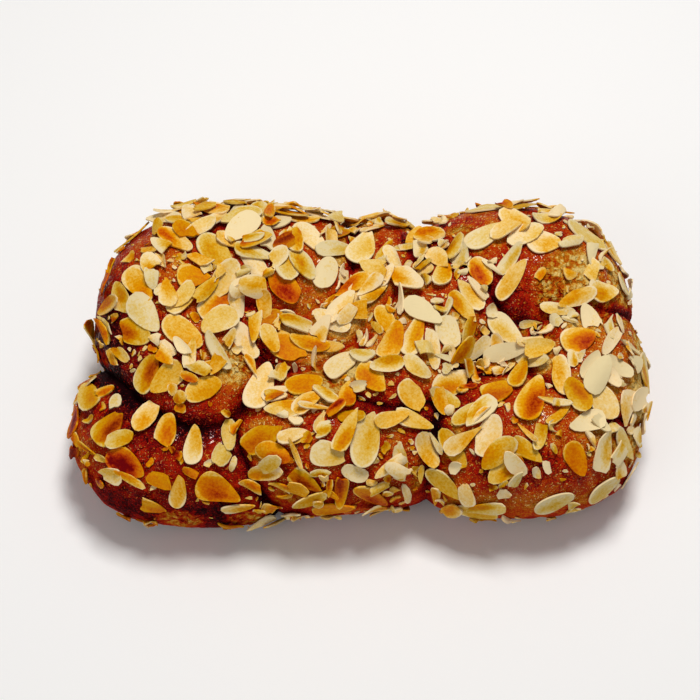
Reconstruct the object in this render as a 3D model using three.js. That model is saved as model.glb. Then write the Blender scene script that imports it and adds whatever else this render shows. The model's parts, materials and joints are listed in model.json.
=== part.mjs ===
// A braided babka: one short, fat loaf of twisted sweet dough, with flaked almonds baked onto it.
//
// The loaf is one solid. Its outside is the envelope of a few fat turns of dough, each a round body
// swept along a short arc, and it is cut flat where it rested on the baking sheet. The large almond
// flakes are thin cupped plates, one solid each, which settle onto the dough by themselves.
//
// Millimetres, +Z up. The origin is on the resting plane, under the middle of the whole object.
import * as THREE from "three";

// ---- Driving dimensions ------------------------------------------------------------------------

const LOAF_LENGTH = 276; // along X
const LOAF_WIDTH = 160; // along Y
const LOAF_HEIGHT = 82; // from the resting plane to the highest turn

const FLAKE_LENGTH = 21; // a whole almond, sliced lengthwise
const FLAKE_WIDTH = 12;
const FLAKE_THICKNESS = 1.1;

// ---- The turns of dough ------------------------------------------------------------------------

// A turn follows an arc through three places. Places are shares of the loaf's half length, half
// width and height, and girths are radii as shares of its height.
const TURNS = {
  core: { arc: [[-0.44, 0.22, 0.36], [-0.04, 0, 0.3], [0.54, 0.04, 0.32]], girth: [0.5, 0.45, 0.48] },
  rearLeft: { arc: [[-0.53, -0.18, 0.41], [-0.59, 0.39, 0.46], [-0.19, 0.52, 0.42]], girth: [0.48, 0.53, 0.47] },
  rearMiddle: { arc: [[-0.05, 0.2, 0.41], [0.02, 0.38, 0.42], [0.05, 0.56, 0.39]], girth: [0.41, 0.41, 0.42] },
  frontLeft: { arc: [[-0.76, -0.3, 0.28], [-0.68, -0.52, 0.32], [-0.4, -0.54, 0.31]], girth: [0.4, 0.4, 0.39] },
  frontMiddle: { arc: [[-0.26, -0.46, 0.37], [-0.08, -0.47, 0.4], [0.14, -0.4, 0.36]], girth: [0.43, 0.43, 0.41] },
  middle: { arc: [[0.02, -0.3, 0.42], [0.16, -0.06, 0.46], [0.36, 0.42, 0.44]], girth: [0.42, 0.43, 0.48] },
  rearRight: { arc: [[0.36, 0.47, 0.43], [0.55, 0.51, 0.45], [0.67, 0.36, 0.43]], girth: [0.48, 0.51, 0.47] },
  rightEnd: { arc: [[0.66, 0.26, 0.38], [0.71, 0, 0.4], [0.69, -0.3, 0.36]], girth: [0.43, 0.46, 0.44] },
  frontRight: { arc: [[0.36, -0.44, 0.35], [0.54, -0.48, 0.39], [0.7, -0.4, 0.34]], girth: [0.43, 0.44, 0.42] },
};
const BALLS_PER_TURN = 25; // round bodies along each arc
const CREASE_ROUNDING = 2.6; // how softly one turn meets the next
const FLANK_SLOPE = 2.6; // how steeply a turn's overhanging side falls to the turn below

// ---- The skin that is laid over the turns ------------------------------------------------------

// The skin is measured out from a level spine, straight out along its length and fanned round its
// two ends, so that every place on the loaf has one distance from the spine.
const SPINE_HALF = 0.52 * (LOAF_LENGTH / 2);
const SPINE_HEIGHT = 0.36 * LOAF_HEIGHT;
const FAN_RADIUS = 58; // spreads the rows evenly round the ends
const FOOT_ROUNDING = 9; // rounded edge round the flat base
const ROWS = 54; // from the left end to the right end
const COLUMNS = 52; // round the spine

// ---- The large almond flakes -------------------------------------------------------------------

// The flakes are scattered from the front and above, along a slant this steep.
const SCATTER_ANGLE = 62;

// [right, up, heading, length, width, tone]
// Right and up are shares of the half length and half width, in the plane square to the slant, and
// the heading is in degrees there. Length and width are shares of a whole flake. The tone is how
// long a flake has toasted: 0 pale, 1 golden, 2 browned.
const FLAKES = {
  rearLeft: [
    [-0.73, 0.44, -50, 1.1, 0.9, 1],
    [-0.74, 0.17, -25, 0.9, 1, 1],
    [-0.62, 0.7, -50, 1.15, 0.75, 1],
    [-0.48, 0.62, -55, 1.1, 1, 1],
    [-0.55, 0.48, 0, 0.75, 0.9, 2],
    [-0.26, 0.44, -50, 1, 1, 2],
    [-0.48, 0.33, 40, 1, 0.85, 1],
    [-0.58, 0.17, -40, 1.05, 1, 1],
    [-0.38, 0.13, -60, 0.95, 0.85, 0],
    [-0.17, 0.72, -60, 1.05, 0.95, 0],
    [-0.79, 0.74, 55, 1.1, 0.8, 1],
    [-0.57, 0.9, 15, 1.05, 0.9, 1],
  ],
  middle: [
    [-0.12, 0.51, 65, 0.8, 0.9, 0],
    [0, 0.66, 70, 1.1, 1.1, 0],
    [0.15, 0.46, -45, 1.25, 1, 0],
    [0.08, 0.23, -60, 1.15, 0.65, 1],
    [0.17, 0.18, 75, 1.2, 0.7, 0],
    [0.28, 0.17, -75, 0.85, 0.95, 0],
    [-0.24, 0.08, -30, 0.9, 1, 2],
    [-0.19, -0.12, 10, 0.85, 1.05, 2],
    [-0.07, 0, 30, 0.85, 1.05, 0],
    [0.03, -0.08, -50, 0.9, 1, 1],
    [0.29, -0.11, 25, 1.05, 0.95, 0],
    [0.16, -0.18, -50, 0.85, 0.9, 1],
  ],
  rearRight: [
    [0.49, 0.47, 55, 1.1, 0.65, 1],
    [0.39, 0.52, -60, 0.75, 0.8, 1],
    [0.41, 0.74, 40, 1.15, 0.9, 0],
    [0.6, 0.69, 0, 0.8, 1.05, 0],
    [0.76, 0.74, -35, 1.1, 1, 0],
    [0.42, 0.92, 5, 1.1, 0.7, 0],
    [0.8, 0.41, 10, 0.8, 0.9, 0],
  ],
  rightEnd: [
    [0.47, 0.18, -45, 1, 0.9, 0],
    [0.7, 0.13, 20, 0.8, 1.05, 1],
    [0.64, -0.07, -80, 1, 0.75, 0],
    [0.78, -0.22, -50, 0.85, 1.1, 0],
    [0.96, -0.06, -65, 0.95, 0.9, 0],
  ],
  frontLeft: [
    [-0.7, -0.06, 60, 1, 0.95, 1],
    [-0.51, -0.14, 25, 0.85, 0.9, 1],
    [-0.82, -0.36, 45, 0.9, 1.05, 1],
    [-0.97, -0.34, 75, 0.9, 0.8, 1],
    [-0.76, -0.56, -30, 1, 1, 2],
    [-0.63, -0.37, 80, 0.8, 0.8, 1],
    [-0.54, -0.45, 85, 0.9, 0.7, 0],
    [-0.59, -0.72, 80, 0.9, 0.6, 1],
    [-0.46, -0.71, -30, 1.05, 1.1, 2],
  ],
  frontMiddle: [
    [-0.32, -0.41, 25, 1.1, 1, 2],
    [-0.33, -0.14, 75, 1.25, 1, 0],
    [0.01, -0.42, 80, 1.3, 1.05, 0],
    [-0.18, -0.66, -40, 0.95, 0.65, 2],
    [-0.11, -0.5, -10, 0.8, 0.95, 0],
  ],
  frontRight: [
    [0.54, -0.19, 75, 1.3, 1.05, 1],
    [0.43, -0.16, 30, 0.8, 1, 2],
    [0.4, -0.4, 70, 0.95, 0.95, 0],
    [0.52, -0.48, -35, 0.9, 0.65, 1],
    [0.68, -0.53, -60, 0.85, 0.9, 2],
    [0.26, -0.68, -50, 1, 0.75, 1],
    [0.37, -0.86, 10, 0.95, 1.1, 1],
    [0.62, -0.8, 40, 0.95, 0.9, 0],
    [0.79, -0.73, 45, 0.9, 1, 0],
  ],
};
const SETTLE_GAP = 0.4; // clear space under a flake's lowest point
const CUPPING = 0.6; // how far a flake's ends stand above its middle

// ---- Dough: where the skin lies ----------------------------------------------------------------

const place = ([along, across, up]) =>
  new THREE.Vector3((along * LOAF_LENGTH) / 2, (across * LOAF_WIDTH) / 2, up * LOAF_HEIGHT);

// The curve through three values at 0, a half and 1.
const through = ([first, mid, last], t) =>
  first * (1 - t) * (1 - 2 * t) + mid * 4 * t * (1 - t) + last * t * (2 * t - 1);

// A turn as a row of balls.
function ballsOf({ arc, girth }) {
  const stops = arc.map(place);
  const along = (axis, t) => through(stops.map((stop) => stop[axis]), t);
  return Array.from({ length: BALLS_PER_TURN }, (_, i) => {
    const t = i / (BALLS_PER_TURN - 1);
    const centre = new THREE.Vector3(along("x", t), along("y", t), along("z", t));
    return { centre, radius: through(girth, t) * LOAF_HEIGHT };
  });
}

const turns = Object.values(TURNS).map(ballsOf);

// How far a ray from the spine goes before it leaves a ball. A ray that misses falls away with the
// flank's slope, so that the skin has no step there.
function reachOfBall(foot, direction, { centre, radius }) {
  const to = centre.clone().sub(foot);
  const along = to.dot(direction);
  const missSquared = Math.max(to.lengthSq() - along * along, 0);
  const inside = Math.sqrt(Math.max(radius * radius - missSquared, 0));
  return along + inside - FLANK_SLOPE * Math.max(Math.sqrt(missSquared) - radius, 0);
}

// The skin's distance from the spine: the furthest turn, with a soft crease between turns, and no
// further than the resting plane.
function skinDistance(foot, direction) {
  const reaches = turns.map((balls) => Math.max(...balls.map((ball) => reachOfBall(foot, direction, ball))));
  const furthest = Math.max(...reaches);
  const sum = reaches.reduce((total, reach) => total + Math.exp((reach - furthest) / CREASE_ROUNDING), 0);
  const reach = furthest + CREASE_ROUNDING * Math.log(sum);
  if (direction.z >= -1e-6) return reach;
  const plane = SPINE_HEIGHT / -direction.z;
  const overlap = Math.max(FOOT_ROUNDING - Math.abs(reach - plane), 0) / FOOT_ROUNDING;
  return Math.min(reach, plane) - (overlap * overlap * FOOT_ROUNDING) / 4;
}

// Above zero outside the dough, below zero inside it.
function clearance(point) {
  const foot = new THREE.Vector3(THREE.MathUtils.clamp(point.x, -SPINE_HALF, SPINE_HALF), 0, SPINE_HEIGHT);
  const direction = point.clone().sub(foot);
  const distance = direction.length();
  return distance - skinDistance(foot, direction.divideScalar(distance));
}

// ---- Dough: the mesh ---------------------------------------------------------------------------

// The skin's point at a share of the way from the left end to the right end, and an angle round.
function skinPoint(share, angle) {
  const fan = (Math.PI / 2) * FAN_RADIUS;
  const whole = 2 * (fan + SPINE_HALF);
  const fromEnd = Math.min(share, 1 - share) * whole;
  const side = share < 0.5 ? -1 : 1;
  const tilt = Math.min(fromEnd / FAN_RADIUS, Math.PI / 2);
  const foot = new THREE.Vector3(side * (SPINE_HALF - Math.max(fromEnd - fan, 0)), 0, SPINE_HEIGHT);
  const direction = new THREE.Vector3(
    side * Math.cos(tilt),
    Math.sin(tilt) * Math.cos(angle),
    Math.sin(tilt) * Math.sin(angle),
  );
  const point = foot.clone().addScaledVector(direction, skinDistance(foot, direction));
  if (point.z < 1e-3) point.z = 0;
  return point;
}

// Rings of points round the spine, closed by one point at each end.
function loafGeometry() {
  const points = [skinPoint(0, 0)];
  for (let row = 1; row < ROWS; row++)
    for (let column = 0; column < COLUMNS; column++)
      points.push(skinPoint(row / ROWS, (2 * Math.PI * column) / COLUMNS));
  points.push(skinPoint(1, 0));

  const last = points.length - 1;
  const at = (row, column) => 1 + (row - 1) * COLUMNS + (column % COLUMNS);
  const faces = [];
  for (let column = 0; column < COLUMNS; column++) {
    faces.push(0, at(1, column + 1), at(1, column));
    faces.push(last, at(ROWS - 1, column), at(ROWS - 1, column + 1));
    for (let row = 1; row < ROWS - 1; row++) {
      const [a, b] = [at(row, column), at(row, column + 1)];
      const [c, d] = [at(row + 1, column), at(row + 1, column + 1)];
      faces.push(a, b, d, a, d, c);
    }
  }
  const geometry = new THREE.BufferGeometry().setFromPoints(points);
  geometry.setIndex(faces);
  geometry.computeVertexNormals();
  return geometry;
}

// ---- Almond flakes -----------------------------------------------------------------------------

const OUTLINE_POINTS = 16;
const TIP_TAPER = 0.3; // how much narrower the pointed half is

// The outline of an almond cut lengthwise, tip towards +X.
function flakeOutline(length, width) {
  return Array.from({ length: OUTLINE_POINTS }, (_, i) => {
    const angle = (2 * Math.PI * i) / OUTLINE_POINTS;
    const across = Math.sin(angle) * (1 - TIP_TAPER * Math.cos(angle));
    return new THREE.Vector2((length / 2) * Math.cos(angle), (width / 2) * across);
  });
}

// A plate whose two ends curl up.
function flakeGeometry(length, width) {
  const shape = new THREE.Shape(flakeOutline(length, width));
  const geometry = new THREE.ExtrudeGeometry(shape, { depth: FLAKE_THICKNESS, bevelEnabled: false });
  const position = geometry.getAttribute("position");
  for (let i = 0; i < position.count; i++) {
    const curl = CUPPING * ((2 * position.getX(i)) / length) ** 2;
    position.setZ(i, position.getZ(i) + curl);
  }
  geometry.computeVertexNormals();
  return geometry;
}

// The slant that the flakes come down, and the plane square to it.
const slant = THREE.MathUtils.degToRad(SCATTER_ANGLE);
const scatter = {
  right: new THREE.Vector3(1, 0, 0),
  up: new THREE.Vector3(0, Math.sin(slant), Math.cos(slant)),
  fall: new THREE.Vector3(0, Math.cos(slant), -Math.sin(slant)),
};

// Where a line down the slant first meets the dough.
function landing(right, up) {
  const start = new THREE.Vector3(0, 0, LOAF_HEIGHT / 2)
    .addScaledVector(scatter.right, (right * LOAF_LENGTH) / 2)
    .addScaledVector(scatter.up, (up * LOAF_WIDTH) / 2)
    .addScaledVector(scatter.fall, -LOAF_WIDTH);
  const at = (distance) => start.clone().addScaledVector(scatter.fall, distance);
  const step = 1;
  let outside = 0;
  while (clearance(at(outside + step)) > 0) {
    outside += step;
    if (outside > 2 * LOAF_WIDTH) throw new Error(`A flake misses the dough at ${right}, ${up}`);
  }
  return at(outside + step / 2);
}

// The dough's outward direction at a point, from the clearance a little way off on each side.
function doughNormal(point, away) {
  const slope = (axis) => {
    const [ahead, behind] = [point.clone(), point.clone()];
    ahead[axis] += away;
    behind[axis] -= away;
    return clearance(ahead) - clearance(behind);
  };
  return new THREE.Vector3(slope("x"), slope("y"), slope("z")).normalize();
}

// Turns a flake to its heading, flat on the dough, and raises it until its lowest point clears.
function settledFlake(name, [right, up, heading, length, width, tone]) {
  const geometry = flakeGeometry(FLAKE_LENGTH * length, FLAKE_WIDTH * width);
  const flake = new THREE.Mesh(geometry, almonds[tone]);
  flake.name = name;

  const spot = landing(right, up);
  const normal = doughNormal(spot, FLAKE_LENGTH / 3);
  const turn = THREE.MathUtils.degToRad(heading);
  const ahead = scatter.right.clone().multiplyScalar(Math.cos(turn)).addScaledVector(scatter.up, Math.sin(turn));
  const side = normal.clone().cross(ahead).normalize();
  flake.setRotationFromMatrix(new THREE.Matrix4().makeBasis(side.clone().cross(normal), side, normal));

  const corners = geometry.getAttribute("position");
  const corner = new THREE.Vector3();
  let lift = -Infinity;
  for (let i = 0; i < corners.count; i++) {
    corner.fromBufferAttribute(corners, i).applyQuaternion(flake.quaternion).add(spot);
    lift = Math.max(lift, -clearance(corner));
  }
  flake.position.copy(spot).addScaledVector(normal, lift + SETTLE_GAP);
  return flake;
}

// ---- Materials ---------------------------------------------------------------------------------

const crust = new THREE.MeshStandardMaterial({ color: 0x9c4a1a, roughness: 0.4, metalness: 0 });
const almonds = [0xe8d9a8, 0xdcb25a, 0xb8702a].map(
  (color) => new THREE.MeshStandardMaterial({ color, roughness: 0.6, metalness: 0 }),
);

// ---- Assembly ----------------------------------------------------------------------------------

const babka = new THREE.Group();
const loaf = new THREE.Mesh(loafGeometry(), crust);
loaf.name = "loaf";
babka.add(loaf);

Object.values(FLAKES)
  .flat()
  .forEach((flake, i) => babka.add(settledFlake(`flake_${String(i + 1).padStart(2, "0")}`, flake)));

// The origin goes under the middle of the whole object.
const middle = new THREE.Box3().setFromObject(babka, true).getCenter(new THREE.Vector3());
babka.position.set(-middle.x, -middle.y, 0);

export default babka;
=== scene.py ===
# %% [markdown]
# # An almond babka
#
# A babka is a sweet yeast dough that is rolled up, cut, twisted and baked. This one is short and
# fat, brushed with egg so that it bakes to a red-brown gloss, and covered with flaked almonds.
# The CAD model holds the loaf and its largest flakes. This lesson gives them their crust and their
# toasted almonds, and adds the hundreds of smaller flakes that the CAD model leaves out.
#
# Lengths are in metres, +Z is up, and the origin lies on the table under the middle of the loaf.

# %% Load the frame
import json

import bpy
import numpy as np
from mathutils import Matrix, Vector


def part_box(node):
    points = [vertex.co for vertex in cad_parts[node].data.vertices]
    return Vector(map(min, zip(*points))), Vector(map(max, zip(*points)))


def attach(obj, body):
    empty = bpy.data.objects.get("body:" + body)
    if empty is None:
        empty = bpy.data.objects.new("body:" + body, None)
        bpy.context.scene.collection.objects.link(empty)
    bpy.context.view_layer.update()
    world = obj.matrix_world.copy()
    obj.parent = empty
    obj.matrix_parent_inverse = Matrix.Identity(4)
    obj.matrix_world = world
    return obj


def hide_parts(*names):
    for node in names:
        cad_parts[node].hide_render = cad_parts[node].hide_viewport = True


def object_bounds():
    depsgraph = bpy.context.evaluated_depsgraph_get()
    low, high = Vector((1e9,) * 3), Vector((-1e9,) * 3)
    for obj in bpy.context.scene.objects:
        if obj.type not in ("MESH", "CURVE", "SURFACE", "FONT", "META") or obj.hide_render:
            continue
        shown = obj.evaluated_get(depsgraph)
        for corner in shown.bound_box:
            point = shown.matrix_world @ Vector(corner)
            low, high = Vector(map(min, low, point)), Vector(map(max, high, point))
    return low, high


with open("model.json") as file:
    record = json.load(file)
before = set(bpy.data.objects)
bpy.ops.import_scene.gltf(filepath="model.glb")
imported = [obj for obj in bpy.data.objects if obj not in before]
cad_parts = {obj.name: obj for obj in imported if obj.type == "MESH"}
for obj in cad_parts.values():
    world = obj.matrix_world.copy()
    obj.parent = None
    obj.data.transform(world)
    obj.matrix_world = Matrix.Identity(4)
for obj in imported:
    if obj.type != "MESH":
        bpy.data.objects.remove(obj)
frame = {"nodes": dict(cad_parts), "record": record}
cad_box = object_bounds()
MM = 0.001
print("CAD nodes:", len(frame["nodes"]))

# %% [markdown]
# ## Camera, table and light
#
# Bread is best seen from above and a little in front, so the camera looks down at 62 degrees. A
# long lens from most of a metre away keeps the loaf's ends from bulging. The table is a plain
# near-white sheet. One broad window light comes from the right and behind, as the brightest flakes
# lie there, and a weak one from the front left keeps the creases readable.

# %% Camera
CAMERA_ELEVATION = np.radians(62)
CAMERA_DISTANCE = 0.771
AIM = np.array([-0.0045, 0.0035, 0.040])  # a little left of the middle, at half height


def new_object(name, data):
    """An object in the scene that shows a camera, a light or a mesh."""
    made = bpy.data.objects.new(name, data)
    bpy.context.scene.collection.objects.link(made)
    return made


toward_camera = np.array([0, -np.cos(CAMERA_ELEVATION), np.sin(CAMERA_ELEVATION)])
camera = new_object("camera", bpy.data.cameras.new("camera"))
camera.data.lens = 85
camera.data.sensor_width = 36
camera.location = AIM + CAMERA_DISTANCE * toward_camera
camera.rotation_euler = (np.pi / 2 - CAMERA_ELEVATION, 0, 0)
bpy.context.scene.camera = camera
print("camera at", np.round(camera.location, 3))


# %% Table and lights
def srgb(hex_colour):
    """A screen colour such as "c86420" as the linear colour that shaders use."""
    screen = np.array([int(hex_colour[i:i + 2], 16) for i in (0, 2, 4)]) / 255
    linear = np.where(screen <= 0.04045, screen / 12.92, ((screen + 0.055) / 1.055) ** 2.4)
    return (*linear.tolist(), 1.0)


def new_material(name):
    """A material, its node tree and its shader node."""
    material = bpy.data.materials.new(name)
    material.use_nodes = True
    return material, material.node_tree, material.node_tree.nodes["Principled BSDF"]


def feed(tree, node, inputs):
    """Links each named input of a node to a socket, or sets it to a value."""
    for key, value in inputs.items():
        if isinstance(value, bpy.types.NodeSocket):
            tree.links.new(value, node.inputs[key])
        else:
            node.inputs[key].default_value = value


TABLE_HALF = 3.0
corners = np.array([[-1, -1, 0], [1, -1, 0], [1, 1, 0], [-1, 1, 0]]) * TABLE_HALF
table_mesh = bpy.data.meshes.new("table")
table_mesh.from_pydata(corners.tolist(), [], [(0, 1, 2, 3)])
table_material, tree, shader = new_material("table_white")
feed(tree, shader, {"Base Color": srgb("fdfdfd"), "Roughness": 1.0})
table_mesh.materials.append(table_material)
table = new_object("table", table_mesh)


def window_light(name, place, size, watts, colour):
    """A square soft light at a place, turned to face the loaf."""
    data = bpy.data.lights.new(name, "AREA")
    data.size = size
    data.energy = watts
    data.color = colour
    light = new_object(name, data)
    light.location = place
    to_loaf = AIM - np.array(place)
    light.rotation_euler = (
        np.arctan2(np.hypot(to_loaf[0], to_loaf[1]), -to_loaf[2]),
        0,
        np.arctan2(to_loaf[1], to_loaf[0]) - np.pi / 2,
    )


window_light("window", (0.12, 0.27, 1.22), 0.32, 11.1, (1, 0.98, 0.955))
window_light("fill", (-0.7, -0.7, 0.9), 0.8, 2.4, (1, 0.98, 0.95))

world = bpy.data.worlds.new("room")
world.use_nodes = True
background = world.node_tree.nodes["Background"]
feed(world.node_tree, background, {"Color": (1, 1, 1, 1), "Strength": 0.2})
bpy.context.scene.world = world
bpy.context.scene.view_settings.view_transform = "Standard"

# %% [markdown]
# ## The dough's form
#
# Twisted dough bakes into a few fat rounded turns with soft creases between them. Each turn is a
# row of balls along a short arc. The skin over all of them is measured outward from a level spine
# inside the loaf: along every ray, the furthest ball gives the skin. These are the same turns that
# the CAD loaf is built from, so the fine crust lies where its solid is.

# %% The turns of dough
LOAF_LENGTH, LOAF_WIDTH, LOAF_HEIGHT = 276 * MM, 160 * MM, 82 * MM
HALF = np.array([LOAF_LENGTH / 2, LOAF_WIDTH / 2, LOAF_HEIGHT])  # half sizes, but the whole height
# Three places as shares of the half length, half width and height, and three girths.
TURNS = {
    "core": ([[-0.44, 0.22, 0.36], [-0.04, 0, 0.3], [0.54, 0.04, 0.32]], [0.5, 0.45, 0.48]),
    "rear_left": ([[-0.53, -0.18, 0.41], [-0.59, 0.39, 0.46], [-0.19, 0.52, 0.42]], [0.48, 0.53, 0.47]),
    "rear_middle": ([[-0.05, 0.2, 0.41], [0.02, 0.38, 0.42], [0.05, 0.56, 0.39]], [0.41, 0.41, 0.42]),
    "front_left": ([[-0.76, -0.3, 0.28], [-0.68, -0.52, 0.32], [-0.4, -0.54, 0.31]], [0.4, 0.4, 0.39]),
    "front_middle": ([[-0.26, -0.46, 0.37], [-0.08, -0.47, 0.4], [0.14, -0.4, 0.36]], [0.43, 0.43, 0.41]),
    "middle": ([[0.02, -0.3, 0.42], [0.16, -0.06, 0.46], [0.36, 0.42, 0.44]], [0.42, 0.43, 0.48]),
    "rear_right": ([[0.36, 0.47, 0.43], [0.55, 0.51, 0.45], [0.67, 0.36, 0.43]], [0.48, 0.51, 0.47]),
    "right_end": ([[0.66, 0.26, 0.38], [0.71, 0, 0.4], [0.69, -0.3, 0.36]], [0.43, 0.46, 0.44]),
    "front_right": ([[0.36, -0.44, 0.35], [0.54, -0.48, 0.39], [0.7, -0.4, 0.34]], [0.43, 0.44, 0.42]),
}
BALLS_PER_TURN = 60
FLANK_SLOPE = 2.6
CREASE_ROUNDING = 2.0 * MM
SPINE_HALF = 0.52 * LOAF_LENGTH / 2
SPINE_HEIGHT = 0.36 * LOAF_HEIGHT
FAN_RADIUS = 58 * MM
FOOT_ROUNDING = 9 * MM


def balls_of(arc, girth):
    """Centres and radii along a turn: c(t) = the curve through three values at t = 0, 1/2 and 1."""
    t = np.linspace(0, 1, BALLS_PER_TURN)[:, None]
    weights = np.hstack([(1 - t) * (1 - 2 * t), 4 * t * (1 - t), t * (2 * t - 1)])
    return weights @ (np.array(arc) * HALF), weights @ (np.array(girth) * LOAF_HEIGHT)


def turn_reaches(foot, direction):
    """How far each turn reaches along rays: a + sqrt(r^2 - m^2) for a ball of radius r whose centre
    is a along the ray and m beside it, falling off with the flank's slope where the ray misses."""
    reaches = []
    for arc, girth in TURNS.values():
        furthest = np.full(foot.shape[:-1], -1.0)
        for centre, radius in zip(*balls_of(arc, girth)):
            to_centre = centre - foot
            along = (to_centre * direction).sum(-1)
            beside = np.sqrt(np.maximum((to_centre**2).sum(-1) - along**2, 0))
            inside = np.sqrt(np.maximum(radius**2 - beside**2, 0))
            reach = along + inside - FLANK_SLOPE * np.maximum(beside - radius, 0)
            furthest = np.maximum(furthest, reach)
        reaches.append(furthest)
    return np.stack(reaches)


def soft_furthest(reaches):
    """The furthest reach with soft creases: max + k log(sum(exp((reach - max) / k)))."""
    furthest = reaches.max(0)
    spread = np.exp((reaches - furthest) / CREASE_ROUNDING).sum(0)
    return furthest + CREASE_ROUNDING * np.log(spread)


def stop_at_table(reach, direction):
    """The lesser of the reach and the table's distance, with a rounded foot where they meet."""
    down = np.maximum(-direction[..., 2], 1e-6)
    table_distance = np.where(direction[..., 2] < -1e-6, SPINE_HEIGHT / down, 10.0)
    overlap = np.maximum(FOOT_ROUNDING - np.abs(reach - table_distance), 0) / FOOT_ROUNDING
    return np.minimum(reach, table_distance) - overlap**2 * FOOT_ROUNDING / 4


print("turns of dough:", ", ".join(TURNS))

# %% [markdown]
# ## A map of the loaf's skin
#
# Every place on the skin has two map coordinates: how far along the loaf from the left end to the
# right, and the angle round the spine. The rays stand straight out along the spine and fan round
# its two ends. The same map serves twice: as the grid of the crust's mesh, and to tell the almond
# flakes how high the surface is under them.

# %% The map and its inverse
MAP_ROWS, MAP_COLUMNS = 320, 300
FAN_LENGTH = np.pi / 2 * FAN_RADIUS
MAP_LENGTH = 2 * (FAN_LENGTH + SPINE_HALF)


def rays(travelled, angle):
    """The ray at a map place: its foot on the spine and its direction (side cos, sin cos, sin sin)."""
    from_end = np.minimum(travelled, MAP_LENGTH - travelled)
    side = np.where(travelled < MAP_LENGTH / 2, -1, 1)
    tilt = np.minimum(from_end / FAN_RADIUS, np.pi / 2)
    foot_x = side * (SPINE_HALF - np.maximum(from_end - FAN_LENGTH, 0))
    foot = np.stack([foot_x, 0 * foot_x, 0 * foot_x + SPINE_HEIGHT], -1)
    out = [side * np.cos(tilt), np.sin(tilt) * np.cos(angle), np.sin(tilt) * np.sin(angle)]
    return foot, np.stack(out, -1)


def map_place(points):
    """The inverse: how far along, the angle round and the distance from the spine of points."""
    foot = np.zeros_like(points)
    foot[..., 0] = np.clip(points[..., 0], -SPINE_HALF, SPINE_HALF)
    foot[..., 2] = SPINE_HEIGHT
    out = points - foot
    distance = np.linalg.norm(out, axis=-1)
    outward = np.abs(out[..., 0]) / np.maximum(distance, 1e-9)
    fanned = FAN_RADIUS * np.arccos(np.clip(outward, 0, 1))
    from_left = np.where(foot[..., 0] < 0, fanned, MAP_LENGTH - fanned)
    straight = FAN_LENGTH + SPINE_HALF + points[..., 0]
    travelled = np.where(np.abs(points[..., 0]) > SPINE_HALF, from_left, straight)
    return travelled, np.arctan2(out[..., 2], out[..., 1]), distance


def map_cell(points):
    """The map place nearest to each point, as a row and a column, and the distance from the spine."""
    travelled, angle, distance = map_place(points)
    row = np.clip(np.rint(travelled / MAP_LENGTH * (MAP_ROWS - 1)).astype(int), 0, MAP_ROWS - 1)
    column = np.rint(angle / (2 * np.pi) * MAP_COLUMNS).astype(int) % MAP_COLUMNS
    return row, column, distance


map_travelled, map_angle = np.meshgrid(
    np.linspace(0, MAP_LENGTH, MAP_ROWS),
    np.linspace(0, 2 * np.pi, MAP_COLUMNS, endpoint=False),
    indexing="ij",
)
map_foot, map_direction = rays(map_travelled, map_angle)


def skin_at(reach):
    """The places on the map's rays that lie at a reach from the spine."""
    return map_foot + map_direction * reach[..., None]


reaches = turn_reaches(map_foot, map_direction)
smooth_reach = soft_furthest(reaches)
smooth_skin = skin_at(smooth_reach)
print("map:", MAP_ROWS, "x", MAP_COLUMNS, "places")

# %% [markdown]
# ## Where the dough is torn, pale or dark
#
# Two turns meet in a crease. Just inside it the dough is painted darker, as painted shade. Beside it
# the skin has torn as the loaf rose: the tear missed the egg wash, so it bakes straw yellow and rough.
# Those regions follow from the reaches alone. How far the second turn lies below the first says how
# near the crease is, once it is divided by how fast that difference grows. A few broad tears and
# dark pits are listed as well. Smooth noise breaks up every edge.

# %% Smooth noise in numpy
LATTICE_SIZE = 32
rng = np.random.default_rng(11)
LATTICE = rng.random((LATTICE_SIZE, LATTICE_SIZE, LATTICE_SIZE))


def smooth_noise(points, grain):
    """Noise from -1 to 1: random numbers on a lattice of the grain's size, blended by 3t^2 - 2t^3."""
    scaled = points / grain + 100
    corner = np.floor(scaled).astype(int)
    blend = scaled - corner
    blend = blend * blend * (3 - 2 * blend)
    total = 0
    for step in np.ndindex(2, 2, 2):
        weight = np.where(step, blend, 1 - blend).prod(-1)
        i, j, k = np.moveaxis((corner + step) % LATTICE_SIZE, -1, 0)
        total = total + weight * LATTICE[i, j, k]
    return 2 * total - 1


def swelling(points, grain):
    """The same noise from 0 to 1."""
    return 0.5 + 0.5 * smooth_noise(points, grain)


def ease(value, low, high):
    """0 below low, 1 above high, and the curve 3t^2 - 2t^3 between them."""
    t = np.clip((value - low) / (high - low), 0, 1)
    return t * t * (3 - 2 * t)


def away_from(place, skin=smooth_skin):
    """How far a skin is from a place in shares of the half length, half width and height."""
    return np.linalg.norm(skin - HALF * np.array(place), axis=-1)


seam_gap = np.diff(np.sort(reaches, axis=0)[-2:], axis=0)[0]
row_step = np.linalg.norm(np.gradient(smooth_skin, axis=0), axis=-1) + 1e-9
column_step = np.linalg.norm(smooth_skin - np.roll(smooth_skin, 1, axis=1), axis=-1) + 1e-9
gap_slope = np.hypot(
    np.gradient(seam_gap, axis=0) / row_step,
    (seam_gap - np.roll(seam_gap, 1, axis=1)) / column_step,
)
seam_away = seam_gap / np.clip(gap_slope, 0.4, 2)
crease = np.exp(-seam_away / (2.6 * MM))
rightward = smooth_skin[..., 0] / HALF[0]
wobble = smooth_noise(smooth_skin, 16 * MM)
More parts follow.
